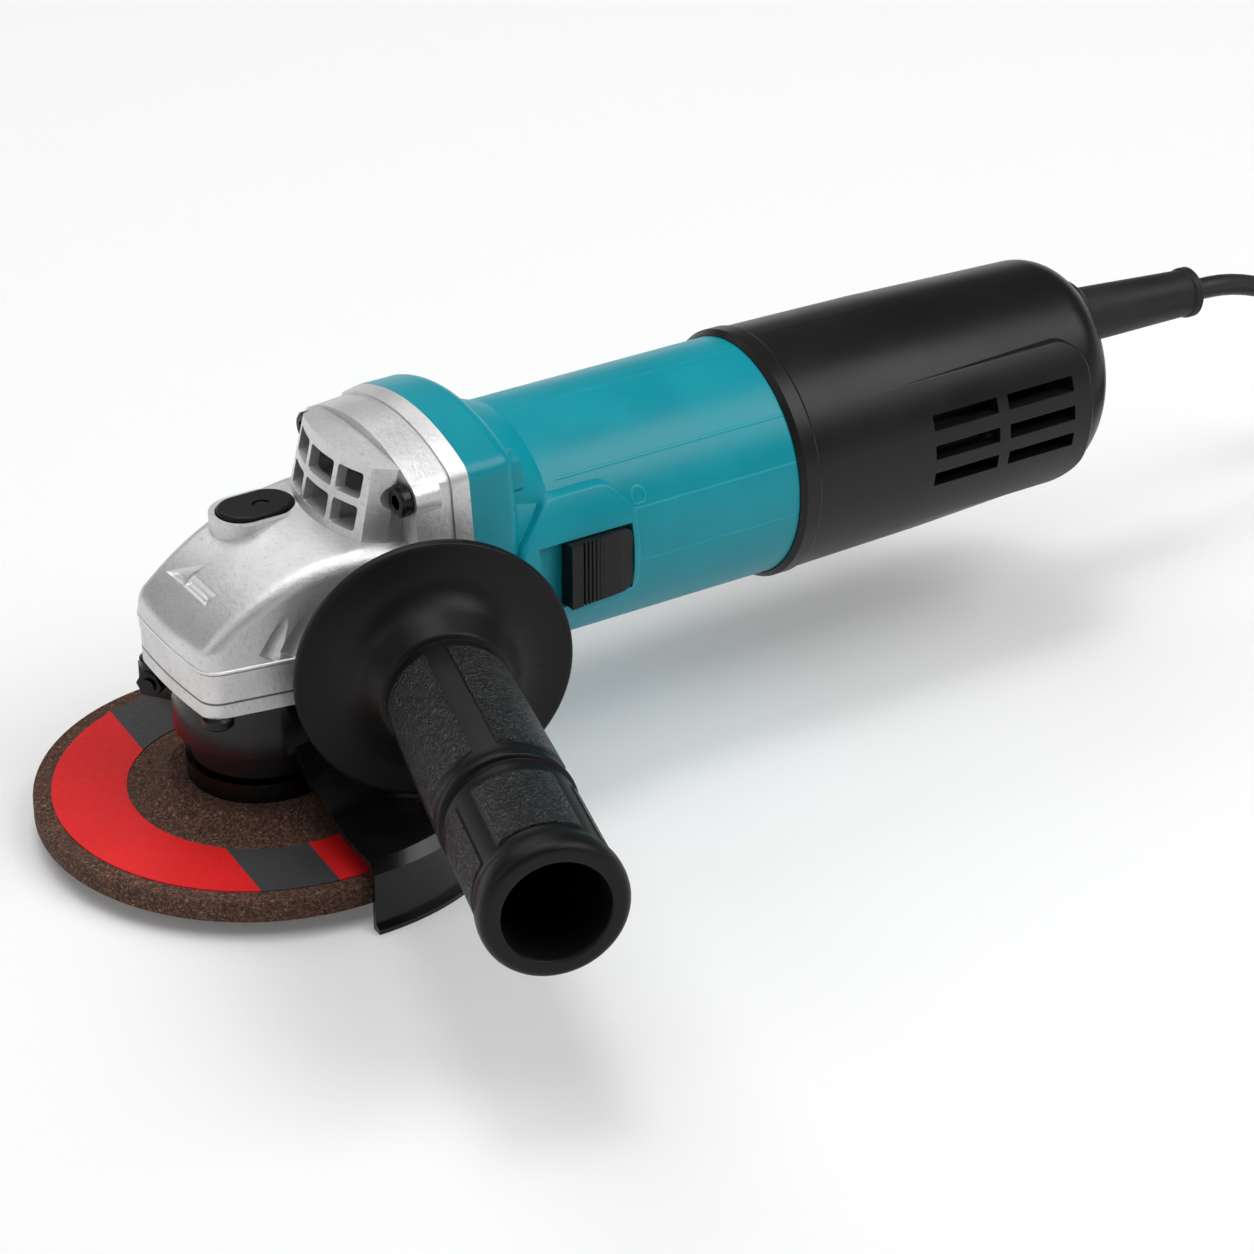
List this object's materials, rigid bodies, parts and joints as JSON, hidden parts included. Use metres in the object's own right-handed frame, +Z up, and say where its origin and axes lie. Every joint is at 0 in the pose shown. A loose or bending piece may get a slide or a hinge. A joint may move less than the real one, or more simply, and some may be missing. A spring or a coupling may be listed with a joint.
{
  "type": "angle grinder",
  "caption": "Small corded angle grinder with a bevel gear head, grinding wheel, half guard, side handle, sliding switch and coiled mains cord with plug.",
  "frame": {"origin": "on the spindle axis, in the plane of the lock nut's outer face and the wheel's lower face", "axes": "X from the spindle to the tail, -Y to the side handle, Z up along the spindle"},
  "size_m": [0.5162, 0.219, 0.1038],
  "materials": {
    "cast_aluminium": "grainy",
    "teal_plastic": "satin",
    "black_plastic": "satin",
    "black_rubber": "matte",
    "guard_paint": "gloss",
    "abrasive": "rough",
    "label_paper": "satin",
    "steel": "satin",
    "dark_steel": "satin",
    "copper": "satin",
    "plug_brass": "polished",
    "carbon": "matte"
  },
  "bodies": {
    "housing": {"gear_housing": "cast_aluminium", "bearing_box": "cast_aluminium", "bearing_box_screws": "dark_steel", "dust_ring": "black_plastic", "o_ring": "black_rubber", "needle_bush": "steel", "spindle_bearing_outer": "steel", "spindle_bearing_retainer": "steel", "gear_housing_screws": "dark_steel", "shaft_lock_spring": "steel", "motor_housing": "teal_plastic", "switch_unit": "black_plastic", "field_core": "steel", "field_coils": "copper", "field_screws": "steel", "baffle_ring": "black_plastic", "brush_holders": "plug_brass", "carbon_brushes": "carbon", "brush_springs": "steel", "front_bearing_outer": "steel", "front_bearing_retainer": "steel", "rear_bearing_outer": "steel", "rear_bearing_rubber": "black_rubber", "rear_cover": "black_plastic", "rear_cover_screws": "dark_steel", "cord_guard": "black_rubber", "cord_clamp": "black_plastic", "cord_clamp_screws": "steel", "side_handle_grip": "black_plastic", "side_handle_bolt": "steel", "mains_cord": "black_rubber", "cord_coil": "black_rubber", "cord_tie": "black_plastic", "plug": "black_rubber", "plug_pins": "plug_brass"},
    "spindle": {"spindle": "steel", "inner_flange": "steel", "grinding_wheel": "abrasive", "wheel_label": "label_paper", "lock_nut": "dark_steel", "bevel_gear": "steel", "gear_retaining_ring": "dark_steel", "spindle_bearing_inner": "steel"},
    "armature": {"armature_shaft": "steel", "armature_core": "steel", "armature_windings": "copper", "commutator": "copper", "fan": "black_plastic", "pinion": "steel", "pinion_nut": "dark_steel", "front_bearing_inner": "steel", "rear_bearing_inner": "steel"},
    "guard": {"wheel_guard": "guard_paint", "guard_clamp_screw": "dark_steel"},
    "lock_button": {"shaft_lock_button": "black_plastic", "shaft_lock_pin": "steel"},
    "switch_slider": {"switch_knob": "black_plastic", "switch_rod": "black_plastic"}
  },
  "joints": [
    {"name": "spindle_spin", "type": "hinge", "parent": "housing", "child": "spindle", "pos_m": [0, 0, 0.03], "axis": [0, 0, 1], "continuous": true},
    {"name": "armature_spin", "type": "hinge", "parent": "housing", "child": "armature", "pos_m": [0.1, 0, 0.0594], "axis": [1, 0, 0], "continuous": true},
    {"name": "guard_turn", "type": "hinge", "parent": "housing", "child": "guard", "pos_m": [0, 0, 0.03], "axis": [0, 0, 1], "range_deg": [-100, 100]},
    {"name": "shaft_lock_press", "type": "slide", "parent": "housing", "child": "lock_button", "axis": [0, 0, -1], "range_m": [0, 0.004], "stiffness_N_per_m": 900, "deforming": ["shaft_lock_spring"]},
    {"name": "switch_slide", "type": "slide", "parent": "housing", "child": "switch_slider", "axis": [-1, 0, 0], "range_m": [0, 0.0065]}
  ],
  "couplings": [
    {"joint": "armature_spin", "follows": "spindle_spin", "ratio": 3.7}
  ]
}
